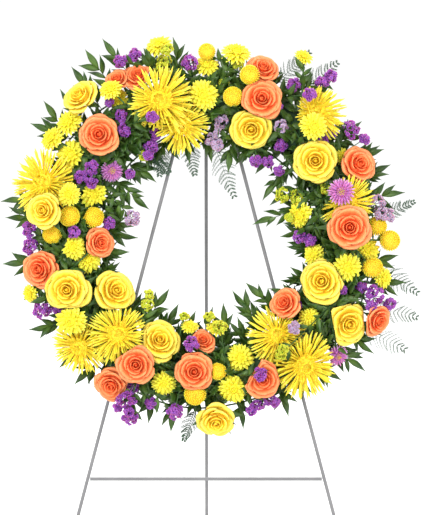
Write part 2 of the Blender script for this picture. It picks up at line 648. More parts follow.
# %% Collecting copies into one mesh
class Bunch:
    def __init__(self, name):
        self.name = name
        self.points, self.loops, self.totals, self.maps = [], [], [], []
        self.tones, self.ages, self.slots, self.kinds = [], [], [], []
        self.count = 0

    def add(self, pattern, points, kind, tone, age):
        """Adds a copy of a pattern at these points, in the wreath's frame."""
        if kind not in self.kinds:
            self.kinds.append(kind)
        self.points.append(points)
        self.loops.append(pattern.loops + self.count)
        self.totals.append(pattern.totals)
        self.maps.append(pattern.map)
        self.tones.append(np.full(len(points), tone))
        self.ages.append(np.full(len(points), age))
        self.slots.append(np.full(len(pattern.totals), self.kinds.index(kind)))
        self.count += len(points)

    def make(self, slot, *nodes):
        points = np.concatenate(self.points)
        turn = np.array(wreath_place)
        points = points @ turn[:3, :3].T + turn[:3, 3]
        loops, totals = np.concatenate(self.loops), np.concatenate(self.totals)
        data = bpy.data.meshes.new(self.name)
        data.vertices.add(len(points))
        data.vertices.foreach_set("co", points.ravel().astype(np.float32))
        data.loops.add(len(loops))
        data.loops.foreach_set("vertex_index", loops)
        data.polygons.add(len(totals))
        starts = np.concatenate([[0], np.cumsum(totals)[:-1]])
        data.polygons.foreach_set("loop_start", starts.astype(np.int32))
        data.polygons.foreach_set("material_index", np.concatenate(self.slots).astype(np.int32))
        data.polygons.foreach_set("use_smooth", np.ones(len(totals), bool))
        data.update(calc_edges=True)
        layer = data.uv_layers.new(name="petal")
        layer.data.foreach_set("uv", np.concatenate(self.maps)[loops].ravel().astype(np.float32))
        for title, rows in (("tone", self.tones), ("age", self.ages)):
            values = data.attributes.new(title, "FLOAT", "POINT")
            values.data.foreach_set("value", np.concatenate(rows).astype(np.float32))
        data.validate()
        for kind in self.kinds:
            data.materials.append(paint[kind])
        piece = bpy.data.objects.new(self.name, data)
        bpy.context.scene.collection.objects.link(piece)
        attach(piece, FRONT)
        if nodes:
            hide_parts(*nodes)
        return piece


# %% [markdown]
# ## Where the blooms sit
#
# These rows are the same as in the solid model: each bloom's kind, place and radius, from the back of
# the arrangement to the front. The rules that follow are the same too. A bloom rests on the foam, turns
# outwards near the ring's edges, comes forward past those it would crowd, and keeps behind flat planes
# between it and its neighbours. So the finer petals fill the places that the solids fill.

# %% Every bloom: its node or kind, and x, z and radius in millimetres
BLOOMS = [
    ("spider_mum_3h", 277, 74, 54), ("spider_mum_8h", -248, -210, 54), ("spider_mum_11h", -50, 224, 56),
    ("orange_rose_6h", -6, -200, 27), ("orange_rose_4h", 336, -158, 32),
    ("orange_rose_11h", -174, 314, 25), ("daisy_mum_4h", 212, -30, 22),
    ("spider_mum_10h", -318, 112, 66), ("spider_mum_2h", 214, 252, 66),
    ("spider_mum_5h", 142, -188, 60), ("spider_mum_8h", -171, -186, 58),
    ("orange_rose_5h", 110, -272, 37), ("orange_rose_5h", 156, -126, 32),
    ("orange_rose_1h", 112, 335, 31), ("button_mum_12h", 2, 370, 15), ("daisy_mum_4h", 352, -76, 20),
    ("daisy_mum_8h", -264, -160, 30), ("daisy_mum_9h", -267, 88, 22), ("daisy_mum_10h", -305, 201, 24),
    ("daisy_mum_6h", 20, -172, 20), ("orange_rose_11h", -132, 320, 32),
    ("orange_rose_10h", -208, 204, 39), ("orange_rose_2h", 299, 147, 36),
    ("orange_rose_9h", -209, -6, 30), ("yellow_rose_11h", -246, 280, 36),
    ("yellow_rose_1h", 90, 218, 41), ("yellow_rose_9h", -314, 56, 34),
    ("yellow_rose_8h", -180, -102, 41), ("yellow_rose_7h", -92, -200, 41),
    ("yellow_rose_4h", 278, -164, 42), ("yellow_rose_6h", 20, -354, 37),
    ("orange_rose_7h", -184, -284, 35), ("orange_rose_6h", -23, -259, 38),
    ("spider_mum_5h", 194, -246, 66), ("spider_mum_11h", -92, 272, 68),
    ("orange_rose_1h", 109, 274, 39), ("yellow_rose_1h", 214, 154, 42), ("orange_rose_2h", 278, 23, 42),
    ("orange_rose_9h", -324, -58, 38), ("yellow_rose_8h", -270, -98, 43),
    ("daisy_mum_4h", 278, -54, 27), ("daisy_mum_4h", 318, -19, 26), ("yellow_rose_4h", 228, -82, 43),
    ("orange_rose_7h", -136, -244, 37), ("daisy_mum_10h", -266, 167, 30),
    ("daisy_mum_10h", -272, 232, 27), ("daisy_mum_11h", -174, 278, 20),
    ("daisy_mum_11h", -187, 296, 22), ("daisy_mum_11h", -93, 384, 26), ("daisy_mum_12h", 60, 370, 28),
    ("daisy_mum_12h", 2, 345, 23), ("daisy_mum_12h", -6, 283, 30), ("daisy_mum_1h", 194, 362, 18),
    ("daisy_mum_1h", 210, 220, 26), ("daisy_mum_1h", 269, 164, 18), ("daisy_mum_3h", 184, 48, 27),
    ("daisy_mum_9h", -220, 90, 29), ("daisy_mum_9h", -262, -14, 26), ("daisy_mum_9h", -234, -38, 27),
    ("daisy_mum_8h", -348, -107, 18), ("daisy_mum_6h", -83, -282, 23), ("daisy_mum_6h", -31, -170, 17),
    ("daisy_mum_6h", 67, -232, 27), ("daisy_mum_6h", 54, -292, 28), ("daisy_mum_3h", 203, -152, 20),
    ("button_mum_12h", 53, 280, 17), ("button_mum_12h", 86, 322, 17), ("button_mum_9h", -301, 11, 17),
    ("button_mum_9h", -267, 46, 18), ("button_mum_9h", -222, 44, 19), ("button_mum_3h", 337, 27, 17),
    ("button_mum_3h", 362, -2, 18), ("button_mum_3h", 328, -55, 18), ("button_mum_6h", 24, -258, 15),
    ("button_mum_6h", -21, -303, 19),
]
SPRAYS = {
    "purple_spray_11h": [
        ("statice", -168, 351, 14), ("statice", -140, 363, 15), ("statice", -32, 348, 18),
        ("solidago", -82, 352, 16),
    ],
    "purple_spray_10h": [
        ("statice", -166, 244, 13), ("statice", -160, 214, 14), ("statice", -104, 236, 12),
        ("statice", -98, 210, 14), ("statice", -108, 182, 15), ("aster", -185, 136, 23),
    ],
    "purple_spray_9h": [
        ("statice", -223, 142, 15), ("statice", -246, 124, 13), ("statice", -224, 112, 12),
        ("statice", -258, 14, 13), ("statice", -190, 32, 13), ("stock", -146, 42, 18),
    ],
    "purple_spray_8h": [
        ("statice", -346, 22, 18), ("statice", -346, -14, 17), ("statice", -324, -138, 18),
        ("statice", -292, -136, 11),
    ],
    "purple_spray_7h": [
        ("statice", -157, -314, 22), ("statice", -142, -290, 13), ("statice", -149, -350, 17),
        ("statice", -108, -322, 12), ("statice", -61, -339, 18), ("solidago", -116, -128, 14),
    ],
    "purple_spray_6h": [
        ("statice", -28, -204, 17), ("statice", 106, -262, 14), ("statice", 120, -290, 14),
        ("statice", 104, -322, 15), ("statice", 136, -320, 11),
    ],
    "purple_spray_4h": [
        ("statice", 332, -110, 23), ("statice", 306, -94, 12), ("aster", 260, -230, 22),
        ("statice", 178, -130, 12), ("solidago", 146, -224, 12),
    ],
    "purple_spray_3h": [
        ("stock", 334, 71, 22), ("stock", 360, 46, 13), ("aster", 263, 92, 26), ("statice", 184, 6, 13),
        ("statice", 206, -2, 12), ("solidago", 150, 88, 17),
    ],
    "purple_spray_1h": [
        ("statice", 98, 156, 13), ("statice", 122, 154, 12), ("statice", 148, 186, 14),
        ("stock", 30, 234, 15), ("stock", 14, 196, 15),
    ],
    "purple_spray_2h": [
        ("statice", 174, 304, 15), ("statice", 202, 282, 15), ("statice", 228, 308, 15),
        ("statice", 246, 322, 14), ("statice", 284, 216, 21),
    ],
}
print("single blooms", len(BLOOMS), "sprays", len(SPRAYS))

# %% One bloom's place, and the room that it has
DEPTH_SHARE = {
    "rose": 0.58,
    "spider_mum": 0.42,
    "daisy_mum": 0.46,
    "button_mum": 0.96,
    "statice": 0.85,
    "stock": 0.8,
    "solidago": 0.7,
    "aster": 0.5,
}
LEAF_LAYER_TOP = 42 * MM
FACE_TILT = math.radians(42)
TILT_REACH = 100 * MM
OPEN_RATIO = 0.74
STEM_END = 0.12
SETTLE_STEP = 2 * MM
CLEAR_OF_FOAM = 7 * MM
BESIDE_FOAM = 8 * MM
STEM_RADIUS = 1.7 * MM


class Head:
    """One bloom or floret cluster: its centre, the way it faces and the ellipsoid that it fills."""

    def __init__(self, node, kind, x, z, radius):
        self.node, self.kind, self.radius = node, kind, radius * MM
        self.depth = self.radius * DEPTH_SHARE[kind]
        self.centre = Vector((x * MM, -rest_height(x * MM, z * MM, self.depth), z * MM))
        from_centre = math.hypot(x * MM, z * MM)
        tilt = FACE_TILT * max(-1, min(1, (from_centre - RING_RADIUS) / TILT_REACH))
        outward = Vector((x * MM, 0, z * MM)) / from_centre
        self.facing = outward * math.sin(tilt) + OUT * math.cos(tilt)
        self.planes = []

    def reach(self, normal):
        along = normal.dot(self.facing)
        return math.sqrt(self.radius**2 * (1 - along**2) + (self.depth * along) ** 2)

    def back(self):
        return self.centre - self.facing * self.depth * STEM_END


def kind_of(node):
    return "rose" if "rose" in node else node.rsplit("_", 1)[0]


def rest_height(x, z, depth):
    """How far out a bloom's centre rests above the tray."""
    aside = abs(math.hypot(x, z) - RING_RADIUS)
    inside = max(0, 1 - (aside / (FOAM_HALF_WIDTH + BESIDE_FOAM)) ** 2)
    return max(LEAF_LAYER_TOP, (FOAM_HEIGHT + CLEAR_OF_FOAM) * math.sqrt(inside)) + depth


def parting(one, other):
    """The best plane normal between two heads, and the room it leaves them as a share."""
    apart = other.centre - one.centre
    straight = apart.normalized()
    outward = Vector((0, -1 if apart.y < 0 else 1, 0))
    found = []
    for step in range(7):
        way = straight.lerp(outward, step / 6).normalized()
        found.append((apart.dot(way) / (one.reach(way) + other.reach(way)), way))
    return max(found, key=lambda pair: pair[0])


def settle(heads):
    for number, head in enumerate(heads):
        others = []
        for other in heads[:number]:
            apart = (other.centre - head.centre).xz.length
            if other.node != head.node and apart < other.radius + head.radius:
                others.append(other)
        while others and min(parting(other, head)[0] for other in others) < OPEN_RATIO:
            head.centre.y -= SETTLE_STEP


# Small clusters that fill the gaps between the blooms, and belong to no node
FILLERS = [
    ("solidago", -122, 166, 12), ("solidago", 178, 84, 17), ("solidago", 28, -172, 17),
    ("solidago", 6, -152, 12), ("stock", 172, -172, 12), ("stock", 344, 50, 14),
    ("stock", 148, 222, 14), ("statice", -190, 270, 9), ("statice", -114, 166, 10),
    ("statice", 144, 136, 10), ("statice", 142, 258, 10), ("solidago", 150, -214, 11),
    ("statice", -150, 130, 10), ("solidago", 236, 100, 12), ("statice", 266, -98, 11),
    ("solidago", -76, 372, 14), ("solidago", -86, 338, 14), ("statice", 250, 214, 11),
    ("solidago", 36, 310, 12), ("statice", 232, 196, 10), ("statice", 102, -292, 11),
    ("statice", 362, -126, 13), ("statice", 324, -130, 11), ("statice", 90, -334, 12),
    ("statice", -150, -338, 11), ("statice", -174, -330, 10), ("statice", -60, -336, 9),
    ("solidago", 64, 345, 12), ("solidago", -112, -108, 11), ("solidago", -42, -152, 10),
    ("statice", 312, 198, 12), ("stock", 22, 186, 12), ("solidago", 164, 44, 9),
]
heads = [Head(node, kind_of(node), x, z, radius) for node, x, z, radius in BLOOMS]
heads += [Head(node, *row) for node, rows in SPRAYS.items() for row in rows]
fillers = [Head("filler", *row) for row in FILLERS]
settle(heads + fillers)
furthest = max(-head.centre.y for head in heads)
print("blooms and clusters", len(heads), "furthest out", round(furthest, 3))

# %% [markdown]
# Each flower node stands in the foam on one foot. Where it carries several blooms the stem forks just
# above the foam. The feet were chosen when the solids were made, so they are read from the solids
# here: a node's deepest points are the end of its foot.


# %% Stems, read from the solids
def ring_point(degrees, radius, out):
    angle = math.radians(degrees)
    return Vector((radius * math.sin(angle), -out, radius * math.cos(angle)))


def foam_share(point):
    """Below 1 inside the foam."""
    aside = (math.hypot(point[0], point[2]) - RING_RADIUS) / FOAM_HALF_WIDTH
    return math.hypot(aside, (-point[1] - FOAM_BASE) / FOAM_HEIGHT)


to_wreath = np.array(wreath_place.inverted())
FOOT_POINTS = 3
LEAN_PER_MM = 1.6
FORKS_ABOVE_FOAM = (4 * MM, 9 * MM, 15 * MM)


def solid_points(node):
    """A node's points in the wreath's frame."""
    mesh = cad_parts[node].data
    points = np.empty(len(mesh.vertices) * 3, np.float32)
    mesh.vertices.foreach_get("co", points)
    points = np.unique(np.round(points.reshape(-1, 3), 5), axis=0)
    return points @ to_wreath[:3, :3].T + to_wreath[:3, 3]


def stems_of(node, own):
    """Stems as pairs of points: one to each bloom, and the foot that they share."""
    points = solid_points(node)
    deepest = sorted(points, key=foam_share)[:FOOT_POINTS]
    root = Vector(np.mean(deepest, axis=0))
    if len(own) == 1:
        return [(own[0].back(), root)]
    bearing = math.degrees(math.atan2(root.x, root.z))
    slope = math.radians((math.hypot(root.x, root.z) - RING_RADIUS) / MM * LEAN_PER_MM)
    way = ring_point(bearing, math.sin(slope), math.cos(slope))
    rise = 0
    while foam_share(root + way * rise) < 1:
        rise += 1 * MM
    forks = [root + way * (rise + clear) for clear in FORKS_ABOVE_FOAM]
    fork = min(forks, key=lambda spot: np.linalg.norm(points - np.array(spot), axis=1).min())
    return [(head.back(), fork) for head in own] + [(fork, root)]


nodes = {}
for head in heads:
    nodes.setdefault(head.node, []).append(head)
routes = {name: (own, stems_of(name, own)) for name, own in nodes.items()}
print("flower nodes", len(routes), "stems", sum(len(stems) for _, stems in routes.values()))


# %% The planes that keep each bloom clear of the others
def nearest_on(stem, point):
    spot, share = intersect_point_line(point, stem[0], stem[1])
    if share <= 0:
        return stem[0]
    return stem[1] if share >= 1 else spot


FOAM_CORE_OUT = 14 * MM
OVER_FOAM = 3 * MM
PLANES_WITHIN = 2.5
STEMS_WITHIN = 30 * MM
STEM_CORNER = 1.42


def foam_plane(head):
    core = Vector((head.centre.x, 0, head.centre.z)).normalized() * RING_RADIUS + OUT * FOAM_CORE_OUT
    toward = (core - head.centre).normalized()
    aside, out = math.hypot(toward.x, toward.z), toward.y
    foam_reach = math.hypot(FOAM_HALF_WIDTH * aside, (FOAM_HEIGHT - FOAM_CORE_OUT) * out)
    return toward, (core - head.centre).length - foam_reach - OVER_FOAM


for number, one in enumerate(heads):
    for other in heads[number + 1 :]:
        share, way = parting(one, other)
        if one.node != other.node and share < PLANES_WITHIN:
            one.planes.append((way, one.reach(way) * share - GAP))
            other.planes.append((-way, other.reach(way) * share - GAP))
    for name, (_, stems) in routes.items():
        for stem in stems:
            away = nearest_on(stem, one.centre) - one.centre
            if name != one.node and away.length < one.radius * 1.1 + STEMS_WITHIN:
                one.planes.append((away.normalized(), away.length - STEM_RADIUS * STEM_CORNER - GAP))
    one.planes.append((-OUT, -one.centre.y - LEAF_LAYER_TOP))
    one.planes.append(foam_plane(one))

for filler in fillers:
    for head in heads:
        share, way = parting(head, filler)
        if share < PLANES_WITHIN:
            filler.planes.append((-way, filler.reach(way) * share - GAP))
    filler.planes.append((-OUT, -filler.centre.y - LEAF_LAYER_TOP))


def press(head, points):
    """Draws points in towards the bloom's centre so that none passes its planes."""
    centre = np.array(head.centre)
    rays = points - centre
    far = np.maximum(np.linalg.norm(rays, axis=1), 1e-7)
    ways = rays / far[:, None]
    normals = np.array([plane[0] for plane in head.planes])
    rooms = np.array([plane[1] for plane in head.planes])
    slopes = ways @ normals.T
    limits = np.where(slopes > 1e-4, rooms / np.maximum(slopes, 1e-4), 10).min(axis=1)
    facing = ways @ np.array(head.facing)
    edges = 1 / np.sqrt((1 - facing**2) / head.radius**2 + (facing / head.depth) ** 2)
    return centre + rays * np.minimum(1, limits / np.maximum(far, edges))[:, None]


# Ragged petals look smaller than the solid that they stand for, so they are drawn a little larger
GROWTH = 1.07


def into_place(head, points, spin):
    """Turns a bloom of radius 1 that faces up into its place in the wreath."""
    turn = np.array(head.facing.to_track_quat("Z", "Y").to_matrix() @ Matrix.Rotation(spin, 3, "Z"))
    return press(head, points * head.radius * GROWTH @ turn.T + np.array(head.centre))


# %% [markdown]
# ## Roses
#
# A rose opens from a tight spiral. Its petals follow each other by the golden angle, about 137.5
# degrees, so none lies right over another. The inner ones stand upright and wrap round the heart. The
# outer ones lean out, and their lips curl back, which is what gives a rose its rounded edges. The flat
# petal is bent twice: round the axis by its u, and up along a curved profile by its v.

# %% One rose petal
GOLDEN_ANGLE = math.radians(137.508)
# Each petal's place from the heart (0) to the rim (1)
ROSE_SHARES = [0, 0.06, 0.12, 0.18, 0.24, 0.3, 0.38, 0.46, 0.5, 0.54]
ROSE_SHARES += [0.68, 0.71, 0.74, 0.77, 0.8, 0.92, 0.94, 0.96, 0.98, 1.0]
# Profiles at four stages, from the heart to the rim: how far out and up the petal is along its length
STAGES = [0, 0.4, 0.7, 1]
STOPS = [0, 0.3, 0.6, 0.85, 1]
OUTS = [
    (0.04, 0.10, 0.12, 0.11, 0.10),
    (0.12, 0.28, 0.37, 0.43, 0.48),
    (0.18, 0.42, 0.60, 0.73, 0.80),
    (0.22, 0.50, 0.76, 0.94, 1.0),
]
UPS = [
    (-0.3, 0.0, 0.3, 0.46, 0.5),
    (-0.36, -0.02, 0.25, 0.42, 0.40),
    (-0.42, -0.1, 0.14, 0.27, 0.20),
    (-0.46, -0.2, 0.02, 0.10, -0.04),
]
HEART_WRAP = 1.45
WRAP_LOSS = 0.62


def soft_profile(share, profiles, size, along):
    """A stage's profile at one place from heart to rim, with its corners smoothed."""
    stops = [np.interp(share, STAGES, stop) * size for stop in zip(*profiles)]
    fine, smooth = np.linspace(0, 1, 41), np.ones(7) / 7
    line = np.convolve(np.pad(np.interp(fine, STOPS, stops), 3, mode="edge"), smooth, mode="valid")
    return np.interp(along, fine, line)


def bent_rose_petal(share, angle, draw):
    """A petal of a rose of radius 1. Share is 0 in the heart and 1 at the rim."""
    across, along, thick = rose_petal.flat.T
    edge = np.abs(across)
    reach = soft_profile(share, OUTS, draw.uniform(0.95, 1.04), along) + thick
    rise = soft_profile(share, UPS, 1, along) + draw.uniform(-0.04, 0.03) * (0.3 + share)
    # The tip bulges, its corners drop, and its lip waves
    reach = reach + share**2 * (0.04 - 0.1 * edge**2) * along**2
    rise = rise - 0.1 * edge**3 * along + 0.03 * share * np.sin(4.5 * across + angle * 3) * along**2
    reach = reach + 0.02 * share * np.cos(6 * across + angle) * along**3
    turn = angle + across * (HEART_WRAP - WRAP_LOSS * share)
    return np.stack([reach * np.cos(turn), reach * np.sin(turn), rise], axis=1)


def add_core(bunch, head, kind, width, height, up, tone, age):
    """A ball in the heart of a bloom of radius 1, so that nothing shows through between its petals."""
    core = heart_ball.flat * [width, width, height] + [0, 0, up]
    bunch.add(heart_ball, into_place(head, core, 0), kind, tone, age)


def add_rose(bunch, head, kind, draw):
    spin = draw.uniform(0, math.tau)
    for width, height, up in ((0.1, 0.4, 0.0), (0.45, 0.26, -0.16)):
        add_core(bunch, head, kind, width, height, up, tone=0.5, age=0.1)
    for number, share in enumerate(ROSE_SHARES):
        points = bent_rose_petal(share, number * GOLDEN_ANGLE, draw)
        bunch.add(rose_petal, into_place(head, points, spin), kind, draw.random(), share)


# %% [markdown]
# ## Chrysanthemums
#
# These are composite flowers: every petal is a whole floret that grows from a low dome. They differ in
# only a few numbers, which are how many petals each ring has, how long and how broad they are, and how
# they bend on the way out. A spider bloom's are long quills that hook at the tip. A daisy bloom's are
# broad and nearly flat. A button's are short scoops packed over a ball.


# %% A petal that bends as it grows outwards
BEND_STEPS = 24


def radial_petal(pattern, angle, root_out, root_up, length, width, bends, trough, sway=0.0):
    """Bends are the rise in degrees at even steps from the root to the tip."""
    across, along, thick = pattern.flat.T
    fine = np.linspace(0, 1, BEND_STEPS + 1)
    rises = np.radians(np.interp(fine, np.linspace(0, 1, len(bends)), bends))
    step = length / BEND_STEPS
    outs = root_out + np.concatenate([[0], np.cumsum(np.cos(rises[1:])) * step])
    ups = root_up + np.concatenate([[0], np.cumsum(np.sin(rises[1:])) * step])
    rise = np.interp(along, fine, rises)
    lift = trough * width * across**2 + thick
    reach = np.interp(along, fine, outs) - np.sin(rise) * lift
    height = np.interp(along, fine, ups) + np.cos(rise) * lift
    aside = across * width + sway * along**2
    x = reach * math.cos(angle) - aside * math.sin(angle)
    y = reach * math.sin(angle) + aside * math.cos(angle)
    return np.stack([x, y, height], axis=1)


# %% Rings of petals, from the back of the bloom to its heart
# A kind's pattern, trough and sway, then each ring's number of petals, their length, breadth and bends
RINGS = {
    "spider_mum": (quill, 0.8, 0.22, [
        (36, 0.97, 0.033, (-4, -10, -16, 14)),
        (35, 0.98, 0.033, (6, 0, -8, 26)),
        (34, 0.90, 0.033, (17, 9, 3, 36)),
        (30, 0.76, 0.033, (30, 22, 18, 56)),
        (24, 0.58, 0.032, (46, 42, 44, 84)),
        (18, 0.40, 0.030, (60, 64, 76, 120)),
        (10, 0.25, 0.028, (76, 90, 110, 140)),
    ]),
    "daisy_mum": (ray_petal, 0.5, 0.06, [
        (15, 1.0, 0.15, (-2, -8, -12, -8)),
        (15, 0.97, 0.15, (8, 1, -4, 0)),
        (14, 0.8, 0.135, (20, 12, 8, 14)),
        (11, 0.58, 0.115, (38, 30, 30, 44)),
        (9, 0.38, 0.09, (58, 58, 66, 86)),
        (7, 0.24, 0.07, (76, 86, 102, 126)),
    ]),
    "aster": (ray_petal, 0.4, 0.05, [
        (22, 0.94, 0.085, (-2, -6, -6, 0)),
        (21, 0.9, 0.082, (10, 4, 4, 8)),
        (18, 0.72, 0.075, (24, 18, 20, 30)),
        (12, 0.46, 0.06, (44, 40, 46, 60)),
    ]),
}


def add_rings(bunch, head, kind, draw):
    pattern, trough, sway, rings = RINGS[kind]
    spin = draw.uniform(0, math.tau)
    add_core(bunch, head, kind, width=0.34, height=0.22, up=0, tone=0.4, age=0.2)
    for number, (count, length, width, bends) in enumerate(rings):
        inward = number / (len(rings) - 1)
        root_out, root_up = 0.1 - 0.05 * inward, -0.08 + 0.1 * inward
        for petal in range(count):
            angle = math.tau * (petal + 0.5 * (number % 2) + draw.uniform(-0.18, 0.18)) / count
            swing = draw.uniform(-5, 5)
            long, wide = length * draw.uniform(0.9, 1.0), width * draw.uniform(0.85, 1.1)
            bent, aside = [bend + swing for bend in bends], draw.uniform(-0.5, 0.5) * sway
            points = radial_petal(pattern, angle, root_out, root_up, long, wide, bent, trough, aside)
            bunch.add(pattern, into_place(head, points, spin), kind, draw.random(), 1 - inward)


# %% A ball of scoops, for the button blooms and the discs of the asters
SCOOP_BREADTH = 0.36
SCOOP_TROUGH = 0.6


def add_ball(bunch, head, kind, draw, count, size, lowest, flatness, petal):
    """Scoops spread over a dome by the golden angle, from the crown down to a lowest height."""
    spin = draw.uniform(0, math.tau)
    shell = size - petal * 0.5
    for number in range(count):
        height = 1 - (1 - lowest) * (number + 0.5) / count
        latitude = math.degrees(math.asin(height))
        out, up = shell * math.cos(math.radians(latitude)), shell * height * flatness
        bends = [latitude - 10, latitude + 15, latitude + 60]
        angle = number * GOLDEN_ANGLE
        points = radial_petal(scoop, angle, out, up, petal, petal * SCOOP_BREADTH, bends, SCOOP_TROUGH)
        age = 0.3 + 0.7 * (1 - height) / (1 - lowest)
        bunch.add(scoop, into_place(head, points, spin), kind, draw.random(), age)


# %% [markdown]
# ## Statice, stock and goldenrod
#
# The small purple and green flowers are clouds of florets on thin twigs. A cluster is a handful of
# tufts spread round its middle by the golden angle, with a thin stalk to each. A tuft is a ball of
# florets, each cup facing outwards with some disorder, and fewest on the side towards the stem.

# %% Clusters of small florets
# Tufts in a cluster, florets in a tuft, and a floret's size in millimetres
CLUSTERS = {"statice": (8, 10, 4.0), "stock": (6, 7, 5.4), "solidago": (12, 8, 3.1)}
TUFT_SHARE = 0.36
CLUSTER_STALK = 0.6 * MM
# How far down from the crown the tufts reach, where 2 would be the whole way round the back
CLUSTER_DOWN = 1.5


def facing_matrix(way, roll=0):
    return np.array(way.to_track_quat("Z", "Y").to_matrix() @ Matrix.Rotation(roll, 3, "Z"))


def add_rod(bunch, pattern, start, end, radius, kind, tone, age):
    """A straight stalk or needle from start to end."""
    way = end - start
    points = (pattern.flat * [radius, radius, way.length]) @ facing_matrix(way.normalized()).T
    bunch.add(pattern, points + np.array(start), kind, tone, age)


def add_stalk(bunch, start, end, radius, draw):
    add_rod(bunch, stalk, start, end, radius, "stem", tone=draw.random(), age=0.5)


def random_way(draw):
    while True:
        way = Vector((draw.uniform(-1, 1), draw.uniform(-1, 1), draw.uniform(-1, 1)))
        if 0.1 < way.length < 1:
            return way.normalized()


def add_tuft(bunch, head, kind, centre, outward, reach, draw):
    _, count, size = CLUSTERS[kind]
    shade = draw.uniform(-0.2, 0.2)
    for _ in range(count):
        way = (outward * 0.7 + random_way(draw)).normalized()
        spot = centre + way * reach * draw.uniform(0.55, 1.0)
        scale = size * MM * draw.uniform(0.8, 1.15)
        facing = (way + random_way(draw) * 0.4).normalized()
        turn = facing_matrix(facing, draw.uniform(0, 6))
        points = (floret.flat * scale) @ turn.T + np.array(spot - way * scale * 0.5)
        tone = min(1, max(0, draw.random() + shade))
        bunch.add(floret, press(head, points), kind, tone, draw.random())


def add_cluster(bunch, head, kind, draw):
    tufts = CLUSTERS[kind][0]
    turn = head.facing.to_track_quat("Z", "Y")
    spin = draw.uniform(0, math.tau)
    foot = head.centre - head.facing * head.depth * 0.3
    for number in range(tufts):
        height = 1 - CLUSTER_DOWN * (number + 0.5) / tufts
        level = math.sqrt(1 - height**2)
        angle = number * GOLDEN_ANGLE + spin
        up = height * DEPTH_SHARE[kind]
        ray = turn @ Vector((level * math.cos(angle), level * math.sin(angle), up))
        centre = head.centre + ray * head.radius * draw.uniform(0.5, 0.68)
        centre = Vector(press(head, np.array([centre]))[0])
        add_stalk(bunch, foot, centre, CLUSTER_STALK, draw)
        add_tuft(bunch, head, kind, centre, ray.normalized(), head.radius * TUFT_SHARE, draw)


BRIDGE_REACH = 1.5
BRIDGE_TUFT = 0.34


def add_bridges(bunch, own, draw):
    """Joins clusters of one spray that lie close together, as they do on one twig."""
    for number, one in enumerate(own):
        for other in own[number + 1 :]:
            apart = other.centre - one.centre
            close = apart.length < BRIDGE_REACH * (one.radius + other.radius)
            if one.kind == other.kind and one.kind in CLUSTERS and close:
                for share in (0.4, 0.6):
                    centre = one.centre + apart * share
                    outward = (one.facing + random_way(draw) * 0.3).normalized()
                    head = one if share < 0.5 else other
                    add_tuft(bunch, head, one.kind, centre, outward, one.radius * BRIDGE_TUFT, draw)


# %% [markdown]
# ## Leaves and stems
#
# A leaf has a fold along its midrib, an arch along its length and a slight wave at its edge. The same
# leaf function serves the leaves behind the roses, the large ones round the wreath, and the small ones
# that hide the foam between the flowers. A leaf that would lie across a bloom's face is left out.


# %% Whether a leaf from one point to another would hide a bloom
FACE_SHARE = 0.92
BEHIND_SHARE = 0.6


def hides_bloom(start, tip, own=None):
    for share in (0.35, 0.7, 1.0):
        spot = start.lerp(tip, share)
        for head in heads:
            aside = math.hypot(spot.x - head.centre.x, spot.z - head.centre.z)
            in_front = head.centre.y - spot.y > -head.depth * BEHIND_SHARE
            if head is not own and aside < head.radius * FACE_SHARE and in_front:
                return True
    return False


# %% One leaf
LEAF_FOLD = 0.22
LEAF_WAVE = 0.03


def leaf_points(pattern, start, tip, width, arch, roll, wave, face):
    across, along, thick = pattern.flat.T
    way = (tip - start).normalized()
    side = Matrix.Rotation(roll, 3, way) @ way.cross(face).normalized()
    up = side.cross(way)
    length = (tip - start).length
    bow = arch * np.sin(math.pi * along) + thick
    bow = bow + LEAF_FOLD * width / 2 * np.abs(across)
    bow = bow + wave * np.sin(along * 14) * np.abs(across) * width
    middle = np.array(start) + np.outer(along * length, np.array(way))
    return middle + np.outer(across * width / 2, np.array(side)) + np.outer(bow, np.array(up))


def add_leaf(bunch, pattern, start, tip, width, arch, roll, draw, wave=0.0, face=OUT, head=None):
    """Where a head is given, the leaf keeps inside that bloom's planes."""
    points = leaf_points(pattern, start, tip, width, arch, roll, wave, face)
    if head:
        points = press(head, points)
    bunch.add(pattern, points, "leaf", draw.random(), draw.random())


# %% A sprig: a twig with a leaf at its tip and others along both sides
SPRIG_LEAF = 47 * MM
SPRIG_SPACING = 14 * MM
TWIG_RADIUS = 0.7 * MM


def add_blade(bunch, start, tip, width, draw):
    if not hides_bloom(start, tip):
        roll = draw.uniform(-0.6, 0.6)
        add_leaf(bunch, leaf_blade, start, tip, width, 2.5 * MM, roll, draw, wave=LEAF_WAVE)


def add_sprig(bunch, root, tip, draw, leaf=SPRIG_LEAF):
    whole = (tip - root).length
    way = (tip - root).normalized()
    side = way.cross(OUT).normalized()
    add_stalk(bunch, root, root + way * max(whole - leaf * 0.8, 4 * MM), TWIG_RADIUS, draw)
    add_blade(bunch, tip - way * leaf, tip, leaf * 0.29, draw)
    steps = max(2, round((whole - leaf * 0.5) / SPRIG_SPACING))
    for step in range(steps):
        spot = root + way * (whole - leaf * 0.9) * (step + 0.6) / (steps + 0.4)
        hand = 1 if step % 2 else -1
        size = leaf * draw.uniform(0.65, 0.95)
        branch = way + side * hand * draw.uniform(0.45, 0.95) + OUT * draw.uniform(-0.15, 0.5)
        add_blade(bunch, spot, spot + branch.normalized() * size, size * draw.uniform(0.26, 0.34), draw)


# %% Leaves behind a bloom, turned to where its neighbours leave them most room
STEM_LEAVES = {"rose": 2, "spider_mum": 2}
LEAF_WAYS = 14
LEAVES_APART = 1.2


def room_towards(head, way):
    rooms = [(normal, room) for normal, room in head.planes if way.dot(normal) > 1e-4]
    return min((room / way.dot(normal) for normal, room in rooms), default=1)


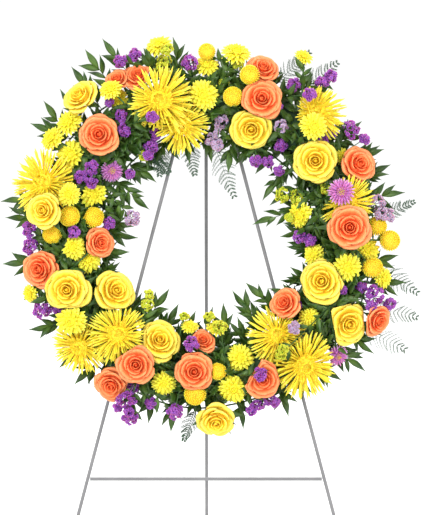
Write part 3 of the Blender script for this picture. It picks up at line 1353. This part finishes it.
def add_stem_leaves(bunch, head, stem, draw):
    turn = head.facing.to_track_quat("Z", "Y")
    root = stem[0] + (stem[1] - stem[0]).normalized() * head.depth * 0.6
    found = []
    for step in range(LEAF_WAYS):
        angle = math.tau * step / LEAF_WAYS
        way = turn @ Vector((math.cos(angle), math.sin(angle), -0.22)).normalized()
        far = min(room_towards(head, way) * 0.97, head.radius + 30 * MM)
        if far > head.radius + 6 * MM:
            found.append((far, angle, way))
    chosen = []
    for far, angle, way in sorted(found, key=lambda row: -row[0]):
        turns = [abs((angle - other + math.pi) % math.tau - math.pi) for other in chosen]
        apart = min(turns, default=math.tau)
        tip = head.centre + way * far
        wanted = len(chosen) < STEM_LEAVES.get(head.kind, 0) and apart > LEAVES_APART
        if wanted and not hides_bloom(head.centre, tip, head):
            chosen.append(angle)
            width, roll = min(far * 0.28, 15 * MM), draw.uniform(-0.2, 0.2)
            add_leaf(bunch, leaf_blade, root, tip, width, 2 * MM, roll, draw, head=head)


# %% Small leaves along a stem, outside the foam and short of the bloom
STEM_LEAF_SPACING = 6.5 * MM
BLOOM_ROOM = 12 * MM
LOWEST_LEAF = 20 * MM


def add_stem_sprigs(bunch, lower, upper, draw, may_hide):
    way = (upper - lower).normalized()
    side = way.cross(OUT)
    side = side.normalized() if side.length > 0.1 else Vector((1, 0, 0))
    for step in range(int(((upper - lower).length - BLOOM_ROOM) / STEM_LEAF_SPACING)):
        spot = lower + way * (STEM_LEAF_SPACING * (step + 0.5))
        if foam_share(spot) < 1:
            continue
        angle = step * GOLDEN_ANGLE + draw.uniform(-0.4, 0.4)
        branch = (way * 0.8 + Matrix.Rotation(angle, 3, way) @ side).normalized()
        size = draw.uniform(24, 36) * MM
        end = spot + branch * size
        if -end.y > LOWEST_LEAF and (not hides_bloom(spot, end) or may_hide and draw.random() < 0.3):
            add_leaf(bunch, small_leaf, spot, end, size * 0.36, 1.5 * MM, draw.uniform(-0.7, 0.7), draw)


# %% All the flower nodes
SPRAY_STEM = 1.1 * MM
BUTTON_SCOOPS = 220
DISC_SCOOPS = 40


def petal_slot(node):
    family = node.rsplit("_", 1)[0]
    return "purple_petal" if family == "purple_spray" else family + "_petal"


for number, (name, (own, stems)) in enumerate(sorted(routes.items())):
    draw = random.Random(500 + number)
    bunch = Bunch(name + "_blooms")
    for head, stem in zip(own, stems):
        if head.kind == "rose":
            add_rose(bunch, head, name.rsplit("_", 1)[0], draw)
        elif head.kind in RINGS:
            add_rings(bunch, head, head.kind, draw)
        elif head.kind == "button_mum":
            add_core(bunch, head, "button_mum", width=0.9, height=0.86, up=0, tone=0.4, age=0.6)
            ball = {"count": BUTTON_SCOOPS, "size": 1.0, "lowest": -0.9, "flatness": 0.96, "petal": 0.22}
            add_ball(bunch, head, "button_mum", draw, **ball)
        else:
            add_cluster(bunch, head, head.kind, draw)
        if head.kind == "aster":
            disc = {"count": DISC_SCOOPS, "size": 0.3, "lowest": 0.0, "flatness": 0.8, "petal": 0.1}
            add_ball(bunch, head, "disc", draw, **disc)
        add_stem_leaves(bunch, head, stem, draw)
    add_bridges(bunch, own, draw)
    spray = name in SPRAYS
    for upper, lower in stems:
        add_stalk(bunch, lower, upper, SPRAY_STEM if spray else STEM_RADIUS, draw)
        add_stem_sprigs(bunch, lower, upper, draw, spray)
    bunch.make(petal_slot(name), name)
print("flower pieces", len(routes))

# %% Small fillers between the blooms
FILLER_STEM = 0.9 * MM
draw = random.Random(77)
bunch = Bunch("filler_sprays")
for filler in fillers:
    add_cluster(bunch, filler, filler.kind, draw)
    bearing = math.degrees(math.atan2(filler.centre.x, filler.centre.z))
    foot = ring_point(bearing, RING_RADIUS, FOAM_BASE + FOAM_HEIGHT * 0.8)
    add_stalk(bunch, foot, filler.centre, FILLER_STEM, draw)
bunch.make("purple_petal")
print("fillers", len(fillers))

# %% [markdown]
# ## Foliage round the ring
#
# Leafy runners lie along the ring's outer and inner edges, and their leaves make its ragged outline.
# The first tips are those of the solid model, measured in the photograph, and the others fill the
# outline between them. A fern's frond has a rib, side branches and hundreds of needles, light enough to
# see through.

# %% Where the large leaves and the fern fronds reach, in millimetres
OUTER_RUNNERS = [(9, 120), (123, 237), (240, 351)]
INNER_RUNNERS = [(-80, 95), (100, 275)]
OUTER_RUNNER_RADIUS = 334 * MM
INNER_RUNNER_RADIUS = 216 * MM
RUNNER_OUT = 14 * MM
RUNNER_SPACING = 44 * MM
OUTER_TIPS = [
    (-66, 404), (-206, 400), (-240, 378), (-268, 345), (-290, 300), (-322, 276), (-350, 232),
    (-408, 76), (-398, 44), (-406, -48), (310, 236), (354, 180), (368, 150), (396, 94), (398, -84),
    (384, -30), (350, -190), (334, -226), (318, -262), (164, -352), (74, -376), (-70, -384),
    (-262, -288), (-352, -178), (250, 318),
]
INNER_TIPS = [
    (-98, 114), (-112, 60), (-158, 66), (-134, 4), (-150, -24), (-72, -96), (-54, -126),
    (-86, -150), (78, -84), (52, -100), (124, -96), (34, -124), (112, 78), (136, 52), (92, 30),
    (150, -24), (44, 132), (-32, 150),
]
FRONDS = [
    ("inner", (6, 216), (56, 84), 44),
    ("inner", (-112, 184), (-72, 132), 42),
    ("inner", (-60, 208), (-92, 126), 42),
    ("inner", (-26, 214), (-22, 128), 40),
    ("inner", (212, -20), (158, -58), 40),
    ("outer", (182, 280), (262, 352), 46),
    ("outer", (150, 298), (206, 372), 40),
    ("outer", (310, -124), (420, -154), 52),
    ("outer", (330, -60), (420, -106), 46),
    ("outer", (318, -160), (396, -218), 58),
    ("outer", (-30, -332), (-44, -398), 34),
    ("outer", (344, 60), (414, 76), 34),
]
# The scene's own tips: 1 outside the ring, and -1 in the hole
MORE_TIPS = {
    1: [
        (316, 208), (316, -236), (364, 130), (274, -264), (-242, 256), (290, -224), (336, -206),
        (66, 352), (-136, -346), (-392, 66), (50, -386), (236, -292), (182, -322), (346, 188),
        (344, 106), (146, -314), (-20, -348), (-86, -332), (-214, 318),
    ],
    -1: [
        (160, -4), (152, 34), (100, -104), (66, -120), (14, -132), (90, -134), (-176, -58),
        (-166, -36), (-146, -98), (-170, 20), (-128, 108), (-80, 150), (130, 100), (-20, -140),
        (-120, -130), (176, -60), (62, -152), (-166, -66), (146, 6), (-110, -110), (-52, 158),
        (58, 148), (-74, -142), (158, -86), (-142, 26), (100, -130), (42, -152), (126, 68),
        (12, 152), (184, -96), (-212, -62), (48, -206),
    ],
}

# %% Runners and their leaves, by the solid model's rules
MORE_LEAF = 38 * MM
SHORT_LEAF = 34 * MM
TIPS_APART = 7


def runner_stations(arc, radius, outward):
    start, end = arc
    steps = round(math.radians(end - start) * radius / RUNNER_SPACING)
    stations = []
    for step in range(steps + 1):
        degrees = start + (end - start) * step / steps
        sway = 3 * MM * math.sin(step * 0.9)
        stations.append(ring_point(degrees, radius + outward * sway, RUNNER_OUT))
    return stations


def bearing_of(point):
    return math.degrees(math.atan2(point.x, point.z)) % 360


def on_arc(degrees, arc):
    return (degrees - arc[0]) % 360 <= arc[1] - arc[0]


def nearest_station(stations, point):
    return min(stations, key=lambda spot: (spot - point).length)


def aside_from(spot, outward, lean):
    """Straight away from the ring at a station, leaning a little along it."""
    away = Vector((spot.x, 0, spot.z)).normalized() * outward
    return (away + away.cross(OUT) * lean).normalized()


def add_runner_leaves(bunch, stations, arc, outward, tips, draw, tones):
    """The solid model's draws come from draw, and the scene's own from tones."""
    for number, (x, z) in enumerate(tips):
        tip = Vector((x * MM, -(20 + 7 * (number % 3)) * MM, z * MM))
        if on_arc(bearing_of(tip), arc):
            draw.uniform(-0.3, 0.3)  # the solid leaf's roll
            add_sprig(bunch, nearest_station(stations, tip), tip, tones)
    bearings = [bearing_of(Vector((x, 0, z))) for x, z in tips]
    for number, spot in enumerate(stations[1:-1]):
        here = bearing_of(spot)
        if min(abs((here - other + 180) % 360 - 180) for other in bearings) < TIPS_APART:
            continue
        way = aside_from(spot, outward, draw.uniform(-0.6, 0.6))
        tip = spot + way * draw.uniform(40, 54) * MM + OUT * (4 + 9 * (number % 2)) * MM
        draw.uniform(-0.3, 0.3)  # the solid leaf's roll
        add_sprig(bunch, spot, tip, tones)
    for x, z in MORE_TIPS[outward]:
        tip = Vector((x * MM, -tones.uniform(14, 34) * MM, z * MM))
        if on_arc(bearing_of(tip), arc):
            add_sprig(bunch, nearest_station(stations, tip), tip, tones, MORE_LEAF)
    for spot in stations if outward < 0 else []:
        for _ in range(2):
            way = aside_from(spot, outward, tones.uniform(-0.9, 0.9))
            tip = spot + way * tones.uniform(36, 56) * MM + OUT * tones.uniform(0, 26) * MM
            add_sprig(bunch, spot, tip, tones, SHORT_LEAF)


# %% A fern frond
FERN_PAIRS = 14
BRANCH_STEPS = 5
BRANCH_CURL = 0.09
# A needle's length and how much it loses at each step, and the same of a branch's radius, in millimetres
NEEDLE_LENGTH, NEEDLE_LOSS = 4.8, 0.5
BRANCH_RADIUS, BRANCH_LOSS = 0.5, 0.06
FERN_LEAFY = 110 * MM
RIB_RADIUS = 1.0 * MM
NEEDLE_RADIUS = 0.46 * MM


def add_needle(bunch, start, end, radius, draw):
    add_rod(bunch, needle, start, end, radius, "fern", tone=draw.random(), age=0.6)


def add_branch(bunch, foot, heading, hand, reach, draw):
    """A side branch curves towards the tip and carries needles on both sides."""
    spot = foot
    for step in range(BRANCH_STEPS):
        after = spot + heading * reach / BRANCH_STEPS
        add_needle(bunch, spot, after, (BRANCH_RADIUS - BRANCH_LOSS * step) * MM, draw)
        for part in (0.15, 0.5, 0.85):
            at = spot.lerp(after, part)
            for turn in (-1, 1):
                fan = Matrix.Rotation(turn * draw.uniform(0.5, 0.9), 3, OUT) @ heading
                lift = OUT * draw.uniform(-0.4, 0.4)
                length = (NEEDLE_LENGTH - NEEDLE_LOSS * step) * MM
                tip = at + (fan + lift).normalized() * length
                add_needle(bunch, at, tip, NEEDLE_RADIUS, draw)
        spot = after
        heading = (Matrix.Rotation(-hand * BRANCH_CURL, 3, OUT) @ heading).normalized()


def add_frond(bunch, root, tip, width, draw):
    way = (tip - root).normalized()
    whole = (tip - root).length
    leafy = min(whole * 0.92, FERN_LEAFY)
    add_needle(bunch, root, tip, RIB_RADIUS, draw)
    for pair in range(FERN_PAIRS):
        share = (pair + 0.5) / FERN_PAIRS
        reach = width * 0.62 * (1.1 - abs(share - 0.3) * 1.3) * draw.uniform(0.8, 1.1)
        foot = root + way * (whole - leafy * (1 - share))
        for hand in (-1, 1):
            turned = Matrix.Rotation(hand * draw.uniform(0.9, 1.25), 3, OUT) @ way
            heading = (turned + OUT * draw.uniform(-0.25, 0.25)).normalized()
            add_branch(bunch, foot, heading, hand, reach, draw)


# %% The five runners
FROND_OUT = 34 * MM
runners = [("outer", arc, OUTER_RUNNER_RADIUS, 1, OUTER_TIPS) for arc in OUTER_RUNNERS]
runners += [("inner", arc, INNER_RUNNER_RADIUS, -1, INNER_TIPS) for arc in INNER_RUNNERS]
for number, (where, arc, radius, outward, tips) in enumerate(runners):
    draw, tones = random.Random(300 + number), random.Random(700 + number)
    bunch = Bunch(f"{where}_foliage_{number + 1}")
    stations = runner_stations(arc, radius, outward)
    for here, after in zip(stations, stations[1:]):
        add_stalk(bunch, here, after, STEM_RADIUS, tones)
    add_runner_leaves(bunch, stations, arc, outward, tips, draw, tones)
    for side, foot, end, width in FRONDS:
        root = Vector((foot[0] * MM, -RUNNER_OUT, foot[1] * MM))
        if side == where and on_arc(bearing_of(root), arc):
            tip = Vector((end[0] * MM, -FROND_OUT, end[1] * MM))
            add_frond(bunch, nearest_station(stations, root) + OUT * MM, tip, width * MM, tones)
    foot = ring_point(arc[0] + 2, RING_RADIUS + outward * 30 * MM, RUNNER_OUT + 2 * MM)
    add_stalk(bunch, foot, stations[1], STEM_RADIUS, tones)
    bunch.make("green_leaf", f"{where}_leaves_{number + 1}")
print("runners", len(runners))

# %% [markdown]
# Florists hide the foam before they place a single bloom, with short sprigs pushed in all over it. So
# small leaves stand on the foam here, most of them leaning outwards, and none reaches past the blooms.
# Simpler ones lie flat on the foam below them, so that no bare foam shows in the gaps.

# %% Small leaves that cover the foam
COVER_LEAVES = 1700
LOW_LEAVES = 380
HIGHEST_TIP = 88 * MM
LOWEST_TIP = 4 * MM
GOLDEN_SHARE = 0.618034


def on_foam(bearing, aside, scale=1):
    """The foam's surface point at a share of its half width, and the way out of the foam there."""
    rise = math.sqrt(1 - aside**2)
    radius = RING_RADIUS + aside * FOAM_HALF_WIDTH * scale
    out = FOAM_BASE + rise * FOAM_HEIGHT * scale
    return ring_point(bearing, radius, out), ring_point(bearing, aside, rise).normalized()


draw = random.Random(41)
cover = Bunch("cover_leaves")
for number in range(COVER_LEAVES):
    bearing = 360 * (number * GOLDEN_SHARE % 1)
    base, normal = on_foam(bearing, draw.uniform(-1, 1), 0.97)
    along_ring = ring_point(bearing + 90, 1, 0)
    way = (normal * draw.uniform(0.35, 1.0) + along_ring * draw.uniform(-0.9, 0.9)).normalized()
    size = draw.uniform(26, 44) * MM
    tip = base + way * size
    if LOWEST_TIP <= -tip.y <= HIGHEST_TIP and not hides_bloom(base, tip):
        width = size * draw.uniform(0.32, 0.46)
        add_leaf(cover, small_leaf, base, tip, width, 2.5 * MM, draw.uniform(-0.9, 0.9), draw)
for number in range(LOW_LEAVES):
    bearing = 360 * ((number * GOLDEN_SHARE + 0.31) % 1)
    aside = draw.uniform(-0.88, 0.88)
    turn, shift = draw.choice((-1, 1)) * draw.uniform(4, 7), draw.uniform(-0.5, 0.5)
    start, normal = on_foam(bearing, aside)
    start += normal * draw.uniform(1, 3) * MM
    end, normal = on_foam(bearing + turn, max(-0.95, min(0.95, aside + shift)))
    end += normal * draw.uniform(1, 3) * MM
    width, roll = (end - start).length * draw.uniform(0.4, 0.6), draw.uniform(-0.2, 0.2)
    add_leaf(cover, low_leaf, start, end, width, 4 * MM, roll, draw, face=normal)
cover.make("green_leaf")
print("cover leaves", len(cover.tones))

# %% [markdown]
# ## Last look
#
# The dressed wreath should fill the solid model's box and no more. Both boxes are written down here, so
# that they can be set side by side.

# %% Sizes, and the end
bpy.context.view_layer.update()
made = [thing for thing in bpy.data.objects if thing.type == "MESH" and not thing.hide_render]
triangles = {thing.name: sum(len(face.vertices) - 2 for face in thing.data.polygons) for thing in made}
print("triangles", sum(triangles.values()), "largest", max(triangles.items(), key=lambda row: row[1]))
